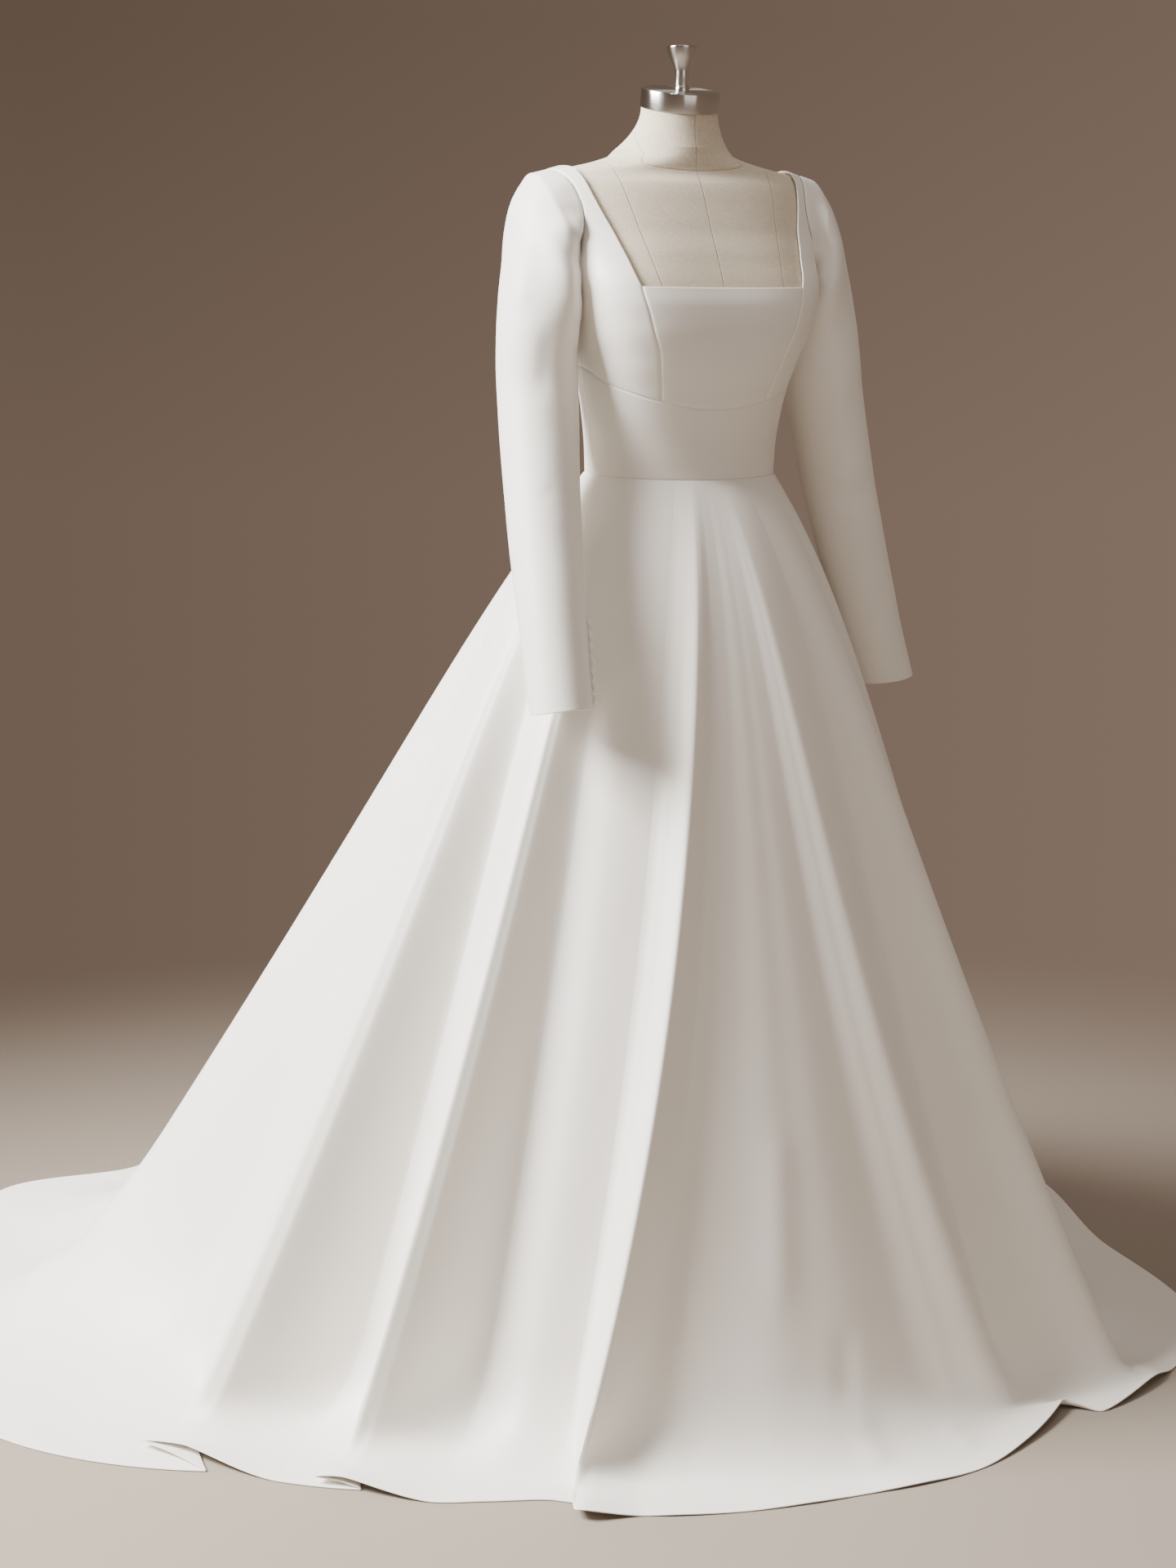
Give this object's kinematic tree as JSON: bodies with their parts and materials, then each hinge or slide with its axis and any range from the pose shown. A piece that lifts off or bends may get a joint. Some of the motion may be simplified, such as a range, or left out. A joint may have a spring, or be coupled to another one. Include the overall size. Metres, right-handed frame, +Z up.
{
  "type": "wedding dress on a dress form",
  "caption": "Long-sleeved floor-length gown with a square neckline, fitted bodice, full gored skirt and train, standing on a limbless dress form with a round base.",
  "frame": {"origin": "centre of the underside of the stand's round base, on the floor", "axes": "+Z up, -Y towards the dress's front, +X towards the wearer's left"},
  "size_m": [1.6242, 1.7429, 1.5796],
  "materials": {
    "satin": "ivory satin with a soft sheen",
    "covered_button": "satin-covered buttons",
    "linen": "natural linen over a firm form",
    "cap_metal": "brushed",
    "stand_metal": "black powder coat"
  },
  "bodies": {
    "root": {"bodice_centre_front": "satin", "bodice_side_front_left": "satin", "bodice_side_front_right": "satin", "bodice_side_back_left": "satin", "bodice_side_back_right": "satin", "bodice_centre_back_left": "satin", "bodice_centre_back_right": "satin", "midriff_front": "satin", "midriff_back_left": "satin", "midriff_back_right": "satin", "skirt_front": "satin", "skirt_side_front_left": "satin", "skirt_side_front_right": "satin", "skirt_side_left": "satin", "skirt_side_right": "satin", "skirt_back_left": "satin", "skirt_back_right": "satin", "sleeve_upper_left": "satin", "sleeve_upper_right": "satin", "sleeve_under_left": "satin", "sleeve_under_right": "satin", "cuff_button_left_1": "covered_button", "cuff_button_left_2": "covered_button", "cuff_button_left_3": "covered_button", "cuff_button_left_4": "covered_button", "cuff_button_left_5": "covered_button", "cuff_button_left_6": "covered_button", "cuff_button_left_7": "covered_button", "cuff_button_right_1": "covered_button", "cuff_button_right_2": "covered_button", "cuff_button_right_3": "covered_button", "cuff_button_right_4": "covered_button", "cuff_button_right_5": "covered_button", "cuff_button_right_6": "covered_button", "cuff_button_right_7": "covered_button", "form_torso": "linen", "form_neck": "linen", "neck_cap": "cap_metal", "neck_knob": "cap_metal", "stand_pole": "stand_metal", "stand_base": "stand_metal"}
  },
  "joints": []
}
